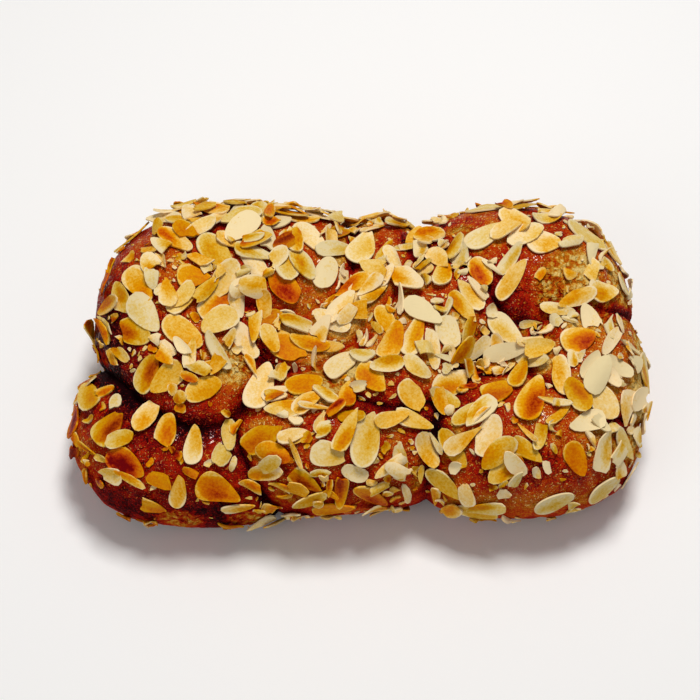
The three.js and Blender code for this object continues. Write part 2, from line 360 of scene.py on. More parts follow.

# Tears, each listed as a place in shares of the half length, half width and height, and then a
# radius in millimetres.
TEARS = [
    (-0.45, -0.19, 0.72, 17), (-0.12, -0.28, 0.82, 15), (0.71, 0.28, 0.85, 18),
    (0.85, 0.42, 0.7, 10), (0.95, 0.06, 0.5, 15), (0.92, -0.3, 0.5, 18),
    (0.45, 0.6, 0.85, 10), (0.58, -0.72, 0.5, 9), (0.3, 0.0, 0.9, 9),
    (-0.6, -0.95, 0.33, 10), (-0.38, -0.9, 0.3, 8),
]
tear = np.zeros_like(seam_gap)
for *place, radius in TEARS:
    away = away_from(place) / MM
    tear = np.maximum(tear, ease(radius * (1 + 0.35 * wobble) - away, -0.25 * radius, 0.3 * radius))
# Rough pits where turns part; the creases' painted shade darkens them too.
DARK_PITS = [
    (0.0, 0.0, 0.8, 6), (-0.22, -0.04, 0.8, 7), (0.16, 0.68, 0.8, 5),
    (0.31, -0.24, 0.8, 5), (0.86, 0.2, 0.7, 4),
]
dark_pits = np.zeros_like(seam_gap)
for *place, radius in DARK_PITS:
    dark_pits = np.maximum(dark_pits, ease(radius * (1 + 0.6 * wobble) - away_from(place) / MM, -1, 2))
beside_crease = ease(seam_away, 2 * MM, 5 * MM) * ease(-seam_away, -14 * MM, -7 * MM)
patches = smooth_noise(smooth_skin + 0.05, 24 * MM) + 0.4 * wobble + 0.15 * rightward
patchy = ease(patches, 0.05, 0.45)
tear = np.maximum(tear, 0.8 * beside_crease * patchy) * (1 - dark_pits)
print("torn share of the skin:", round(float(tear.mean()), 3))

# %% [markdown]
# ## The crust's mesh
#
# The crust is the smooth skin with its relief taken out of it, never added, so that it stays inside
# the CAD loaf: broad dents, blisters under the glaze, ragged crumb in the tears, and creases cut
# deeper. It also stands a little inside the solid all round, most at the two ends, because the
# almonds that cover it have to fit inside the solid's outline as well.


# %% Closed bodies from rings
def with_poles(grid):
    """A grid of (bodies, rings, points) as (bodies, vertices): each end ring gives only its pole."""
    between = grid[:, 1:-1].reshape(len(grid), -1, *grid.shape[3:])
    return np.concatenate([grid[:, 0, :1], between, grid[:, -1, :1]], axis=1)


def closed_bodies(name, places, attributes, material):
    """One mesh of many closed bodies: each is a stack of rings, shut by a point at either end.

    Places have the shape (bodies, rings, points, 3), and an attribute the same without its last
    number. Four neighbours on the grid make a face, and each end a fan of triangles.
    """
    count, rows, columns = places.shape[0], places.shape[1] - 2, places.shape[2]
    vertices = with_poles(places)
    each = vertices.shape[1]
    here = np.arange(columns)
    following = (here + 1) % columns
    row = 1 + columns * np.arange(rows - 1)[:, None]
    quads = np.stack([row + here, row + following, row + columns + following, row + columns + here], -1)
    last_row = 1 + columns * (rows - 1)
    pole = np.zeros(columns, int)
    fans = np.concatenate([
        np.stack([pole, 1 + following, 1 + here], -1),
        np.stack([pole + each - 1, last_row + here, last_row + following], -1),
    ])
    starts = each * np.arange(count)[:, None, None]
    quads = (quads.reshape(1, -1, 4) + starts).reshape(-1, 4)
    fans = (fans[None] + starts).reshape(-1, 3)
    mesh = bpy.data.meshes.new(name)
    mesh.from_pydata(vertices.reshape(-1, 3), [], quads.tolist() + fans.tolist(), shade_flat=False)
    for label, values in attributes.items():
        layer = mesh.attributes.new(label, "FLOAT", "POINT")
        layer.data.foreach_set("value", with_poles(values).astype(np.float32).ravel())
    mesh.validate()
    mesh.materials.append(material)
    piece = new_object(name, mesh)
    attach(piece, "root")
    return piece


def triangles(piece):
    """How many triangles a mesh makes when each face of n corners is cut into n - 2."""
    return sum(len(face.vertices) - 2 for face in piece.data.polygons)


# %% The crust's relief
outlying = ease(np.abs(smooth_skin) / HALF, 0.8, 0.97)
inset = 0.5 * MM + 1.6 * MM * outlying[..., 0] + 1.0 * MM * outlying[..., 1]
dents = 0.9 * MM * swelling(smooth_skin, 30 * MM)
lumps = 0.9 * MM * swelling(smooth_skin + 0.1, 11 * MM)
blisters = 0.6 * MM * swelling(smooth_skin, 4.5 * MM)
stretched = smooth_skin * np.array([2.2, 0.8, 0.8])
wrinkles = 0.7 * MM * np.abs(smooth_noise(stretched, 9 * MM))
ragged = 1.5 * MM * np.maximum(tear, dark_pits) * np.abs(smooth_noise(smooth_skin, 4 * MM))
creased = crease * (2.6 * MM + 2.8 * MM * swelling(smooth_skin, 22 * MM))
taken_out = inset + dents + lumps + blisters + wrinkles + ragged + creased
crust_reach = stop_at_table(smooth_reach - taken_out, map_direction)
crust_skin = skin_at(crust_reach)
crust_skin[..., 2] = np.where(crust_skin[..., 2] < 1e-6, 0, crust_skin[..., 2])

# The CAD model was centred over its outline's middle, and the loaf's own box says by how much.
loaf_low, loaf_high = np.array(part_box("loaf"))
solid_skin = skin_at(stop_at_table(smooth_reach, map_direction))
SHIFT = (loaf_low + loaf_high) / 2 - (solid_skin.min((0, 1)) + solid_skin.max((0, 1))) / 2
SHIFT[2] = 0
print("shift to the frame, mm:", np.round(SHIFT / MM, 2))
print("loaf box, mm:", np.round(loaf_low / MM, 1), np.round(loaf_high / MM, 1))

# %% [markdown]
# ## Shared grain
#
# Baked dough and sliced almonds both have a fine uneven grain: specks of colour about a millimetre
# across, and a faint roughness that breaks up the light. It is one node group, and every material
# uses it with its own size.


# %% Node helpers and the grain group
def put(tree, kind, inputs=None, **properties):
    """Adds a shader node, sets its properties and feeds the inputs that are named."""
    made = tree.nodes.new("ShaderNode" + kind)
    for key, value in properties.items():
        setattr(made, key, value)
    feed(tree, made, inputs or {})
    return made


def calc(tree, operation, *values):
    """One Math node: its operation on up to three sockets or numbers."""
    return put(tree, "Math", dict(enumerate(values)), operation=operation).outputs[0]


def vector_calc(tree, operation, *values):
    """One Vector Math node's outputs: a vector first, and a number such as a length by name."""
    return put(tree, "VectorMath", dict(enumerate(values)), operation=operation).outputs


def noise(tree, place, scale, **others):
    """Noise at a place, with so many swells per unit of length; other inputs go by name."""
    return put(tree, "TexNoise", {"Vector": place, "Scale": scale, **others}).outputs["Fac"]


def add_up(tree, *terms):
    """The sum of weight times value, with each term given as (value socket or number, weight)."""
    total = 0.0
    for value, weight in terms:
        total = calc(tree, "MULTIPLY_ADD", value, weight, total)
    return total


def remap(tree, value, low, high, to_low=0.0, to_high=1.0):
    """A value between low and high, carried smoothly onto another range."""
    numbers = {"Value": value, "From Min": low, "From Max": high, "To Min": to_low, "To Max": to_high}
    return put(tree, "MapRange", numbers, interpolation_type="SMOOTHSTEP").outputs[0]


def colour_ramp(tree, factor, stops):
    """Colours along a value, given as (place, screen colour) from first to last."""
    made = put(tree, "ValToRGB", {"Fac": factor})
    elements = made.color_ramp.elements
    elements[0].position, elements[0].color = stops[0][0], srgb(stops[0][1])
    elements[1].position, elements[1].color = stops[-1][0], srgb(stops[-1][1])
    for place, colour in stops[1:-1]:
        elements.new(place).color = srgb(colour)
    return made.outputs["Color"]


def new_group(name, inputs, outputs):
    """An empty node group with named sockets, what it is given, and the node that it leaves by."""
    group = bpy.data.node_groups.new(name, "ShaderNodeTree")
    for label, kind in inputs.items():
        group.interface.new_socket(label, in_out="INPUT", socket_type="NodeSocket" + kind)
    for label in outputs:
        group.interface.new_socket(label, in_out="OUTPUT", socket_type="NodeSocketFloat")
    return group, group.nodes.new("NodeGroupInput").outputs, group.nodes.new("NodeGroupOutput")


grain_group, entry, leave = new_group(
    "grain", {"Place": "Vector", "Specks per metre": "Float"}, ["Mottle", "Speck", "Relief"]
)
group = grain_group
place, fine = entry["Place"], entry["Specks per metre"]
mottle = noise(group, place, calc(group, "MULTIPLY", fine, 0.2), Detail=4.0)
speck = noise(group, place, fine, Detail=3.0, Roughness=0.65)
pits = noise(group, place, calc(group, "MULTIPLY", fine, 0.38), Detail=2.0)
relief = add_up(group, (pits, 1.0), (speck, 0.4))
feed(group, leave, {"Mottle": mottle, "Speck": remap(group, speck, 0.35, 0.7), "Relief": relief})
print("group:", group.name, "with", len(group.nodes), "nodes")


def grain(tree, place, specks):
    """Places the grain group in a material and returns its outputs."""
    values = {"Place": place, "Specks per metre": specks}
    return put(tree, "Group", values, node_tree=grain_group).outputs


def attribute(tree, name):
    """A value that the mesh carries at each vertex."""
    return put(tree, "Attribute", attribute_name=name).outputs["Fac"]


# %% [markdown]
# ## The crust's finish
#
# Egg wash bakes to a thin clear shell, so the crust is dark, saturated red-brown under a coat, and
# the coat catches small highlights. How far each place has baked is a number that the mesh carries:
# least in the tears, which are straw yellow, and more in red-brown patches over the rest of the skin.
# The same number carries painted shade: darker in the creases and dark pits, round the foot and
# towards the left end. A colour ramp turns it into colour, after the grain has disturbed it.
#
# The glaze's glistening in tiny points is painted into the colour as lighter sparks, which are
# painted glints. The glaze has also shrunk into fine folds in places: thin dark lines where a smooth
# noise crosses its middle value.

# %% The crust's material
crust_material, tree, shader = new_material("glazed_crust")
place = put(tree, "TexCoord").outputs["Object"]
specks = grain(tree, place, 1000.0)
broad = noise(tree, place, 42.0, Detail=3.0)
torn = attribute(tree, "torn")
wash = attribute(tree, "glazed")
# Painted glints: tiny lighter points painted into the crust's colour, fainter off the glaze.
painted_glints = remap(tree, specks["Speck"], 0.6, 1.0)
painted_glints = calc(tree, "MULTIPLY", painted_glints, remap(tree, wash, 0.0, 0.6, 0.3, 1.0))
fold_noise = noise(tree, place, 130.0, Detail=2.0, Distortion=1.2)
off_fold = calc(tree, "ABSOLUTE", calc(tree, "SUBTRACT", fold_noise, 0.5))
folds = remap(tree, off_fold, 0.0, 0.035, 1.0, 0.0)
folds = calc(tree, "MULTIPLY", folds, remap(tree, broad, 0.45, 0.62))
torn_specks = calc(tree, "MULTIPLY", remap(tree, specks["Relief"], 0.55, 0.85), torn)
# The bake number, with its painted shade from the mesh and the painted glints, before the ramp.
bake_and_painted_light = add_up(
    tree,
    (attribute(tree, "bake_and_painted_light"), 1.0), (specks["Mottle"], 0.5), (specks["Speck"], 0.42),
    (painted_glints, -0.75), (broad, 0.5), (torn_specks, -0.4), (torn, 0.2), (folds, 0.2), (1.0, -0.66),
)
stops = [
    (0.0, "ecca78"), (0.12, "d99e32"), (0.26, "c67412"), (0.4, "bb4a07"),
    (0.54, "b02104"), (0.68, "940b04"), (0.82, "560306"), (1.0, "180205"),
]
relief = add_up(tree, (specks["Relief"], 1.0), (specks["Mottle"], 1.2), (folds, -0.35))
relief_strength = remap(tree, torn, 0.1, 0.8, 0.6, 1.0)
bump = put(tree, "Bump", {"Height": relief, "Distance": 0.003, "Strength": relief_strength})
glint = remap(tree, specks["Speck"], 0.6, 0.95, 0.0, 0.9)
finish = {
    "Base Color": colour_ramp(tree, bake_and_painted_light, stops),
    "Roughness": remap(tree, wash, 0.1, 0.9, 0.85, 0.5),
    "Specular IOR Level": 0.03,
    "Coat Weight": calc(tree, "MULTIPLY", remap(tree, wash, 0.3, 0.95), glint),
    "Coat Roughness": 0.14,
    "Coat IOR": 1.4,
    "Normal": bump.outputs["Normal"],
}
feed(tree, shader, finish)
print("material:", crust_material.name)

# %% Make the crust
bake_and_shade = 0.6 + 0.2 * smooth_noise(smooth_skin, 38 * MM) + 0.14 * wobble
bake_and_shade += 0.1 * smooth_noise(smooth_skin, 7 * MM)
bake_and_shade -= 0.11 * rightward  # painted shade: darker towards the left end, away from the light
bake_and_shade -= 0.14 * np.exp(-((away_from((0.05, -0.1, 0.85)) / (52 * MM)) ** 2))
bake_and_shade -= 0.44 * tear
# Painted shade in the creases and dark pits: weaker to the right, at the far left and in the rear hollow.
crease_width = (5.0 - 1.8 * rightward) * MM
from_hollow = away_from((-0.1, 0.25, 0.85))  # between the two rear turns
painted_crease_shade = 0.49 - 0.14 * rightward - 0.24 * np.exp(-((from_hollow / (26 * MM)) ** 2))
painted_crease_shade -= 0.22 * ease(-rightward, 0.6, 0.9)
bake_and_shade += painted_crease_shade * np.maximum(np.exp(-seam_away / crease_width), dark_pits)
bake_and_shade -= 0.27 * np.exp(-((from_hollow / (50 * MM)) ** 2))
# Painted shade: darker round the foot, where the loaf meets the table.
bake_and_shade += 0.3 * ease(-crust_skin[..., 2], -12 * MM, -1 * MM)

glazed = (1 - tear) * (1 - crease) * ease(crust_skin[..., 2], 24 * MM, 58 * MM)
crust_values = {"bake_and_painted_light": bake_and_shade[None], "torn": tear[None], "glazed": glazed[None]}
crust = closed_bodies("crust", (crust_skin + SHIFT)[None], crust_values, crust_material)
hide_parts("loaf")
print("crust triangles:", triangles(crust))

# %% [markdown]
# ## An almond flake
#
# Flaked almonds are blanched kernels sliced lengthwise, under a millimetre thick. Whole ones are
# drops with one pointed end. Many break across, and some are slivers from the kernel's side. In the
# oven they curl, and they brown first in the middle. Every kind is the same surface with different
# numbers: an outline with a ragged edge, filled by rings from the lower middle, over the rim, to
# the upper middle.


# %% The flake's surface
def drop_width(share, taper, point):
    """What turns an oval into a drop: (1 - taper s) ((1 - s)/2)^point, about 1 at its widest."""
    taper, point = taper[:, None], point[:, None]
    return (1 - taper * share) * ((1 - share) / 2 + 1e-6) ** point * (1 + 0.5 * point)


def flake_outline(form, spokes):
    """The rims of flakes, and the middle of each rim.

    x = L/2 cos a, y = W/2 sin a (1 - taper cos a) ((1 - cos a)/2)^point, where the cosine and the
    sine are first raised to the power blunt: below 1 it squares the oval off. The larger the point,
    the sharper the drop's tip at a = 0. Three waves round the rim shrink it a little, and each
    break moves what lies beyond a straight, slightly jagged line back onto that line.
    """
    angle = 2 * np.pi * np.arange(spokes) / spokes
    waves = np.array([2, 3, 5])[:, None] * angle
    ripple = form["ripple"][:, :, None] * (np.sin(waves + form["phase"][:, :, None]) - 1)
    swell = 1 + ripple.sum(1)
    half_length, half_width = form["length"][:, None] / 2, form["width"][:, None] / 2
    cosine, sine = np.cos(angle), np.sin(angle)
    ahead = np.sign(cosine) * np.abs(cosine) ** form["blunt"][:, None]
    aside = np.sign(sine) * np.abs(sine) ** form["blunt"][:, None]
    x = half_length * ahead * swell
    y = half_width * aside * drop_width(ahead, form["taper"], form["point"]) * swell
    for turn, depth in zip(form["break_turn"].T[:, :, None], form["break_depth"].T[:, :, None]):
        across_x, across_y = np.cos(turn), np.sin(turn)
        limit = depth * np.hypot(half_length * across_x, half_width * across_y)
        jag = form["jag"][:, None] * half_width * np.sin(6 * angle + 9 * form["phase"][:, :1])
        beyond = np.maximum(x * across_x + y * across_y - limit - jag, 0)
        x, y = x - beyond * across_x, y - beyond * across_y
    middle = np.stack([x.max(1) + x.min(1), y.max(1) + y.min(1)], -1) / 2
    return x, y, middle


def flake_points(form, shares, heights, spokes):
    """The points of flakes in their own frames, from pole to pole, and each point's place.

    Rings lie at shares of the rim from its middle. Height is the thickness, plus a bend along x^2,
    a cup along y^2, a twist along x y and a soft wave.
    """
    x, y, middle = flake_outline(form, spokes)
    half_length, half_width = form["length"][:, None, None] / 2, form["width"][:, None, None] / 2
    share = np.concatenate([[0], shares, [0]])[:, None]
    height = np.concatenate([[heights[0]], heights, [heights[-1]]])[:, None]
    local_x = share * (x - middle[:, :1])[:, None]
    local_y = share * (y - middle[:, 1:])[:, None]
    along, across = local_x / half_length, local_y / half_width
    bend, cup, twist, wave, thickness = (
        form[key][:, None, None] for key in ("bend", "cup", "twist", "wave", "thickness")
    )
    z = height * thickness / 2 + bend * along**2 + cup * across**2 + twist * along * across
    z = z + wave * np.sin(4 * along + form["phase"][:, 1, None, None]) * share
    points = np.stack([local_x, local_y, z], -1)
    along = along + middle[:, :1, None] / half_length
    across = across + middle[:, 1:, None] / half_width
    return points, along, across


def one_of(form, f):
    """The numbers of flake f alone."""
    return {key: values[f:f + 1] for key, values in form.items()}


def in_place(points, form):
    """Points of flakes carried from their own frames to where the flakes lie."""
    return np.einsum("frsa,fac->frsc", points, form["axes"]) + form["centre"][:, None, None]


def flakes_mesh(name, form, shares, heights, spokes, material):
    """One mesh of flakes, each placed by its centre and the three axes of its frame."""
    points, along, across = flake_points(form, shares, heights, spokes)
    attributes = {"along": along, "across": across}
    for label in ("toast", "chance"):
        attributes[label] = np.ones_like(along) * form[label][:, None, None]
    piece = closed_bodies(name, in_place(points, form) + SHIFT, attributes, material)
    piece.data.set_sharp_from_angle(angle=np.radians(32))
    return piece


print("a flake's surface is ready")

# %% [markdown]
# ## Toasted almond
#
# Raw almond is cream. It toasts to straw, gold and then brown, in a blotch round the middle that
# leaves the rim paler. The mesh tells each flake's material how long it has toasted and where on
# the flake a point lies, so the blotch turns with the flake. One group works out how browned a
# point is. The three finishes in the record use it with their own values. No two kernels have
# quite the same colour, so each flake also gets a hue and a value of its own.

# %% The toasting group
toasting_group, entry, leave = new_group(
    "toasting", {"Start": "Float", "Blotch": "Float"}, ["Browned", "Relief", "Variety"]
)
group = toasting_group
along, across = attribute(group, "along"), attribute(group, "across")
chance = attribute(group, "chance")
seat = calc(group, "MULTIPLY", chance, 37.0)
on_flake = put(group, "CombineXYZ", {"X": along, "Y": across, "Z": seat}).outputs[0]
drift = noise(group, on_flake, 1.3, Detail=3.0, Roughness=0.6)
sideways = calc(group, "MULTIPLY_ADD", chance, 2.0, -1.0)
offset = put(group, "CombineXYZ", {"X": sideways, "Y": drift}).outputs[0]
moved = vector_calc(group, "MULTIPLY_ADD", offset, (0.6, 0.6, 0), on_flake)[0]
squeezed = vector_calc(group, "MULTIPLY", moved, (0.8, 0.9, 0))[0]
from_blotch = vector_calc(group, "LENGTH", squeezed)["Value"]
blotch = remap(group, add_up(group, (from_blotch, 1.0), (drift, -0.9)), 0.6, -0.4)
flat = vector_calc(group, "MULTIPLY", on_flake, (1, 1, 0))[0]
rim = remap(group, vector_calc(group, "LENGTH", flat)["Value"], 0.84, 1.0)
fibres = put(group, "Mapping", {"Vector": on_flake, "Scale": (2.0, 22.0, 1.0)}).outputs[0]
fibre = noise(group, fibres, 1.5, Detail=2.0)
share = calc(group, "FRACT", calc(group, "MULTIPLY", chance, 7.3))
strong = remap(group, share, 0.1, 1.0, 0.2, 1.6)
weight = calc(group, "MULTIPLY", blotch, calc(group, "MULTIPLY", entry["Blotch"], strong))
browned = add_up(
    group,
    (entry["Start"], 1.0), (attribute(group, "toast"), 0.6), (weight, 1.0), (rim, -0.22),
    (drift, 0.3), (fibre, 0.08), (1.0, -0.24),
)
variety = calc(group, "FRACT", calc(group, "MULTIPLY", chance, 23.7))
feed(group, leave, {"Browned": browned, "Relief": fibre, "Variety": variety})
print("group:", group.name, "with", len(group.nodes), "nodes")


# %% The three almond finishes
def almond_material(name, start, blotch_weight):
    """Almond flesh: cream to brown by how far it has toasted, dry, with fine fibres and specks."""
    material, tree, shader = new_material(name)
    values = {"Start": start, "Blotch": blotch_weight}
    toasting = put(tree, "Group", values, node_tree=toasting_group).outputs
    specks = grain(tree, put(tree, "TexCoord").outputs["Object"], 900.0)
    browned = add_up(tree, (toasting["Browned"], 1.0), (specks["Speck"], 0.14), (1.0, -0.06))
    stops = [
        (0.0, "f3e1b2"), (0.12, "efd48c"), (0.26, "e8c262"), (0.42, "dda236"),
        (0.56, "d28214"), (0.72, "c06006"), (0.86, "9e3a02"), (1.0, "701c02"),
    ]
    own_colour = {
        "Hue": remap(tree, toasting["Variety"], 0.0, 1.0, 0.487, 0.498),
        "Saturation": 1.08,
        "Value": remap(tree, toasting["Variety"], 1.0, 0.3, 0.9, 1.06),
        "Color": colour_ramp(tree, browned, stops),
    }
    relief = add_up(tree, (toasting["Relief"], 1.0), (specks["Relief"], 0.6))
    bump = put(tree, "Bump", {"Height": relief, "Distance": 0.0004, "Strength": 0.5})
    finish = {
        "Base Color": put(tree, "HueSaturation", own_colour).outputs["Color"],
        "Roughness": remap(tree, browned, 0.2, 0.8, 0.55, 0.4),
        "Specular IOR Level": 0.04,
        "Normal": bump.outputs["Normal"],
    }
    feed(tree, shader, finish)
    return material


almonds = {
    "almond_pale": almond_material("almond_pale", 0.02, 0.3),
    "almond_golden": almond_material("almond_golden", 0.1, 0.38),
    "almond_toasted": almond_material("almond_toasted", 0.12, 0.42),
}
print("almond finishes:", ", ".join(almonds))

# %% [markdown]
# ## The large flakes
#
# The CAD model has the largest flakes as plain cupped plates. Each is replaced by a flake of the
# same size in the same place, with a ragged rim, a rounded edge and its own small waves. Where a
# plate lies is read from its corners: the longest direction through them is its length, the
# shortest is its thickness, and the tip is the end where the corners lie closer together.


# %% Read a plate's frame
def plate_frame(node):
    """Centre of the underside, the axes as rows, the length and the width of a CAD flake."""
    corners = np.unique(np.round([v.co for v in node.data.vertices], 6), axis=0).astype(float)
    middle = corners.mean(0)
    ahead, side, up = np.linalg.svd(corners - middle, full_matrices=False)[2]
    spine_foot = np.array([np.clip(middle[0], -SPINE_HALF, SPINE_HALF), 0, SPINE_HEIGHT])
    up = up * np.sign(up @ (middle - spine_foot))
    off = corners - middle
    ahead = -ahead * np.sign(((off @ ahead) * (off @ side) ** 2).mean())
    axes = np.stack([ahead, np.cross(up, ahead), up])
    local = off @ axes.T
    low, high = local.min(0), local.max(0)
    underside = middle + np.array([(low[0] + high[0]) / 2, (low[1] + high[1]) / 2, low[2]]) @ axes
    return underside - SHIFT, axes, high[0] - low[0], high[1] - low[1]


plates = [name for name in sorted(frame["nodes"]) if name.startswith("flake_")]
plate_slots = {row["node"]: row["material_slot"] for row in frame["record"]["subparts"]}
plate_frames = [plate_frame(frame["nodes"][name]) for name in plates]
print("plates:", len(plates), "lengths in mm:", np.round([f[2] / MM for f in plate_frames[:6]], 1))

# %% Make the large flakes
PLATE_THICKNESS, PLATE_CURL = 1.1 * MM, 0.6 * MM
RIM_POINTS = 12
CLEARANCE = 0.1 * MM
FINE_SHARES = np.array([0.4, 0.75, 0.98, 1.0, 1.0, 0.98, 0.75, 0.4])
FINE_HEIGHTS = np.array([-1, -1, -1, -0.5, 0.5, 1, 1, 1])
FINE_SPOKES = 30
rng = np.random.default_rng(41)


def flake_form(count, **given):
    """The numbers of flakes, drawn at random where none are given."""
    form = {
        "taper": rng.uniform(0.0, 0.28, count),
        "point": np.clip(rng.normal(0.1, 0.13, count), 0, 0.4),
        "blunt": rng.uniform(0.78, 1.0, count),
        "ripple": np.abs(rng.normal(0, [0.035, 0.03, 0.02], (count, 3))),
        "phase": rng.uniform(0, 2 * np.pi, (count, 3)),
        "break_turn": rng.uniform(0, 2 * np.pi, (count, 2)),
        "break_depth": rng.uniform(0.8, 1.6, (count, 2)),
        "jag": rng.uniform(0.0, 0.06, count),
        "thickness": rng.uniform(0.55, 0.85, count) * MM,
        "bend": np.clip(rng.standard_t(3, count) * 0.9 + 0.6, -2.5, 3.5) * MM,
        "cup": np.clip(rng.standard_t(3, count) * 0.75, -2.2, 2.2) * MM,
        "twist": rng.normal(0, 0.7, count) * MM,
        "wave": rng.normal(0, 0.25, count) * MM,
        "chance": rng.random(count),
    }
    form.update(given)
    return form


centres, axes, lengths, widths = (np.array(part) for part in zip(*plate_frames))
SLOT_TOAST = {"almond_pale": 0.12, "almond_golden": 0.35, "almond_toasted": 0.62}
plate_toast = np.array([SLOT_TOAST[plate_slots[name]] for name in plates])
plate_form = flake_form(
    len(plates),
    length=lengths,
    width=widths,
    taper=rng.uniform(0.08, 0.28, len(plates)),
    ripple=np.abs(rng.normal(0, [0.018, 0.02, 0.015], (len(plates), 3))),
    break_depth=rng.uniform(0.68, 1.25, (len(plates), 2)),
    thickness=np.full(len(plates), 0.8 * PLATE_THICKNESS),
    bend=np.full(len(plates), PLATE_CURL),
    cup=rng.normal(0, 0.25, len(plates)) * MM,
    twist=rng.normal(0, 0.3, len(plates)) * MM,
    toast=plate_toast + rng.normal(0, 0.06, len(plates)),
    centre=centres + axes[:, 2] * PLATE_THICKNESS / 2,
    axes=axes,
)
plate_form["toast"] += 0.35 * ease(-centres[:, 0] / HALF[0], 0.7, 0.95)


def feelers_of(form):
    """The points with which flakes feel what is under them: their rims, and as many halfway in."""
    return flake_points(form, np.array([0.55, 1.0]), np.array([-1, -1]), RIM_POINTS)[0][:, 1:-1]


# The crust lies a little inside the solid loaf, so each flake is let down onto it.
row, column, distance = map_cell(in_place(feelers_of(plate_form), plate_form))
outward = (map_direction[row, column] * axes[:, None, None, 2]).sum(-1)
drop_by = ((distance - crust_reach[row, column]) * outward).min((1, 2)) - CLEARANCE
plate_form["centre"] -= np.clip(drop_by, -0.6 * MM, 4 * MM)[:, None] * axes[:, 2]
print("flakes let down by, mm:", np.round(np.percentile(drop_by / MM, [5, 50, 95]), 1))

for i, name in enumerate(plates):
    slot = plate_slots[name]
    one = one_of(plate_form, i)
    piece = flakes_mesh("large_" + name, one, FINE_SHARES, FINE_HEIGHTS, FINE_SPOKES, almonds[slot])
    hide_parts(name)
print("large flakes:", len(plates), "of", triangles(piece), "triangles each")

# %% [markdown]
# ## Hundreds of flakes settle on the loaf
#
# A baker throws flaked almonds on by the handful. They are laid here one after another, each on
# what already lies there. The map of the skin keeps the height of whatever is uppermost. A new
# flake takes a random place, more often where the almonds are thick, and is raised until it clears
# what is there. Then it is added to the map as if it were flat. So flakes pile up, and only the
# curled ones still cut into a neighbour here and there.

# %% Where almonds lie thick or thin
# A place and a radius as for the tears, and how bare it is there. Where that last number is below
# nought the almonds lie thicker instead.
BARE = [
    (-0.86, -0.16, 0.6, 22, 0.93), (-0.69, -0.44, 0.65, 19, 0.9),
    (-0.47, -0.38, 0.7, 18, 0.92), (-0.92, -0.3, 0.45, 22, 0.9),
    (-0.62, -0.64, 0.66, 12, 0.6), (-0.62, -0.9, 0.27, 28, 0.9),
    (-0.9, 0.45, 0.55, 26, 0.9), (-0.41, -0.2, 0.75, 15, 0.85),
    (-0.22, -0.04, 0.8, 9, 0.9), (0.0, 0.0, 0.8, 9, 0.95),
    (-0.12, -0.25, 0.85, 12, 0.8), (0.16, -0.3, 0.87, 9, 0.8),
    (0.44, 0.59, 0.88, 14, 0.7), (0.56, 0.27, 0.9, 17, 0.85),
    (0.7, 0.3, 0.85, 16, 0.85), (0.33, -0.72, 0.58, 16, 0.85),
    (0.62, -0.85, 0.45, 24, 0.88), (0.94, -0.1, 0.5, 26, 0.75),
    (0.86, 0.45, 0.6, 16, 0.6), (-0.82, 0.6, 0.65, 32, 0.98),
    (-0.9, -0.7, 0.4, 24, 0.6), (-0.4, -0.6, 0.72, 19, 0.88),
    (0.8, 0.2, 0.75, 15, 0.7), (0.62, -0.2, 0.8, 10, 0.6),
    (0.62, -0.55, 0.72, 16, 0.85), (-0.88, 0.72, 0.6, 32, 0.97),
    (0.12, -0.85, 0.5, 18, -1.0), (0.4, 0.68, 0.8, 20, 0.9),
    (0.14, 0.68, 0.8, 16, 0.65), (0.62, 0.76, 0.7, 18, 0.65),
    (0.9, 0.2, 0.6, 20, 0.6), (-0.62, -0.72, 0.5, 18, 0.8),
    (-0.38, 0.22, 0.9, 22, -4.0), (-0.04, 0.2, 0.9, 22, -3.5),
    (-0.45, 0.6, 0.85, 26, -1.6), (0.42, 0.86, 0.62, 18, 0.8),
    (0.66, 0.86, 0.6, 18, 0.8),
]
terrain = crust_reach.copy()
skin = skin_at(terrain)
along_rows = np.gradient(skin, axis=0)
along_columns = (np.roll(skin, -1, axis=1) - np.roll(skin, 1, axis=1)) / 2
facing = np.cross(along_columns, along_rows)
cell_area = np.linalg.norm(facing, axis=-1)
facing /= cell_area[..., None] + 1e-12
cover = ease(skin[..., 2], 4 * MM, 42 * MM) * (0.12 + 0.88 * ease(facing[..., 2], -0.1, 0.7))
for lost, value, low, high in [
    (0.82, -rightward, 0.6, 0.88),
    (0.65, rightward, 0.72, 0.96),
    (0.4, rightward, 0.3, 0.7),
    (0.72, -facing[..., 1], 0.35, 0.8),
]:
    cover *= 1 - lost * ease(value, low, high)
for *place, radius, bareness in BARE:
    away = away_from(place, skin) / MM
    cover *= 1 - bareness * ease(-away, -1.3 * radius, -0.6 * radius)
drops = np.cumsum((cell_area * (0.03 + cover)).ravel())
drops /= drops[-1]
print("whole skin, cm2:", round(float(cell_area.sum()) * 1e4))


# %% Settle one flake
KEPT_IN_SIGHT = 0.62  # how much of a large flake, across its middle, others should leave bare
SAME_SIDE = 15 * MM  # what lies further from a flake's plane is on the loaf's other side


def under_flake(points, form, f, centre, axes, grow=1.0):
    """Which points lie over flake f: inside its drop-shaped outline and short of its breaks."""
    local = (points - centre) @ axes.T
    length, width = form["length"][f] / 2 * grow, form["width"][f] / 2 * grow
    middle = flake_outline(one_of(form, f), RIM_POINTS)[2][0]
    x, y = local[..., 0] + middle[0], local[..., 1] + middle[1]
    share = np.clip(x / length, -1, 1)
    drop = drop_width(share, form["taper"][f:f + 1], form["point"][f:f + 1])
    power = 2 / form["blunt"][f]
    half_chord = width * (1 - np.abs(share) ** power) ** (1 / power) * drop.reshape(share.shape)
    inside = (np.abs(y) < half_chord) & (np.abs(local[..., 2]) < SAME_SIDE)
    for turn, depth in zip(form["break_turn"][f], form["break_depth"][f]):
        limit = depth * np.hypot(length * np.cos(turn), width * np.sin(turn))
        inside &= x * np.cos(turn) + y * np.sin(turn) < limit
    return inside


def height_under(points):
    """How far points stand above the uppermost thing, if a large flake is there, and the ray."""
    row, column, distance = map_cell(points)
    return distance - terrain[row, column], kept_clear[row, column], map_direction[row, column]


